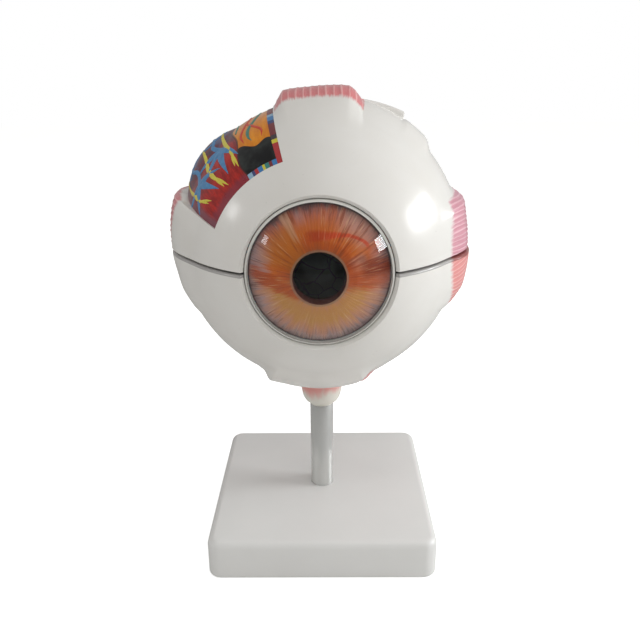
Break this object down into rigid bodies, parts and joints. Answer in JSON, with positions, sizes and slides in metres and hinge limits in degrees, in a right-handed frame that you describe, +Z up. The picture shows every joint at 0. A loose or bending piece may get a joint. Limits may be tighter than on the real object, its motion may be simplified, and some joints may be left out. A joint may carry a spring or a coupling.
{
  "type": "eye anatomy model",
  "caption": "Classroom eye anatomy model on a square stand: the eyeball turns on its post and lifts apart layer by layer, down to the lens.",
  "frame": {"origin": "centre of the base's underside, on the post's axis", "axes": "+Z up along the post; the pupil looks along -Y; the nose side is +X"},
  "size_m": [0.1544, 0.1656, 0.245],
  "materials": {
    "base_plastic": "milky white, smooth satin gloss",
    "chrome": "bright chrome plating",
    "steel": "turned steel",
    "washer_plastic": "natural nylon",
    "muscle_paint": "pink brushed paint fading to white",
    "sclera_plastic": "glossy white moulding, hand painted where the muscles are",
    "nerve_plastic": "painted yellow",
    "clear_plastic": "clear polished plastic",
    "iris_paint": "hand painted radial fibres",
    "choroid_paint": "painted dark red with vessels",
    "ciliary_paint": "painted brown, folded"
  },
  "bodies": {
    "stand": {"base": "base_plastic", "post": "chrome", "post_bolt": "steel", "post_washer": "steel"},
    "turning_washer": {"thrust_washer": "washer_plastic"},
    "lower_eyeball": {"lower_sclera": "sclera_plastic", "support_collar": "muscle_paint", "optic_nerve": "nerve_plastic", "locating_pins": "steel"},
    "lower_layer": {"lower_choroid": "choroid_paint", "iris": "iris_paint", "lower_ciliary_ring": "ciliary_paint", "choroid_pins": "steel"},
    "front_dome": {"cornea": "clear_plastic"},
    "clear_filling": {"vitreous_body": "clear_plastic"},
    "eye_lens": {"lens": "clear_plastic"},
    "upper_layer": {"upper_choroid": "choroid_paint", "upper_ciliary_ring": "ciliary_paint"},
    "upper_eyeball": {"upper_sclera": "sclera_plastic"}
  },
  "joints": [
    {"name": "eyeball_turn", "type": "hinge", "parent": "stand", "child": "turning_washer", "pos_m": [0, 0, 0.074], "axis": [0, 0, 1], "continuous": true},
    {"name": "eyeball_lift", "type": "slide", "parent": "turning_washer", "child": "lower_eyeball", "axis": [0, 0, 1], "range_m": [0, 0.04]},
    {"name": "lower_layer_lift", "type": "slide", "parent": "lower_eyeball", "child": "lower_layer", "axis": [0, 0, 1], "range_m": [0, 0.08]},
    {"name": "cornea_pull", "type": "slide", "parent": "lower_layer", "child": "front_dome", "axis": [0, -1, 0], "range_m": [0, 0.03]},
    {"name": "filling_lift", "type": "slide", "parent": "lower_layer", "child": "clear_filling", "axis": [0, 0, 1], "range_m": [0, 0.08]},
    {"name": "lens_lift", "type": "slide", "parent": "clear_filling", "child": "eye_lens", "axis": [0, 0, 1], "range_m": [0, 0.07]},
    {"name": "upper_layer_lift", "type": "slide", "parent": "eye_lens", "child": "upper_layer", "axis": [0, 0, 1], "range_m": [0, 0.07]},
    {"name": "upper_eyeball_lift", "type": "slide", "parent": "upper_layer", "child": "upper_eyeball", "axis": [0, 0, 1], "range_m": [0, 0.075]}
  ]
}
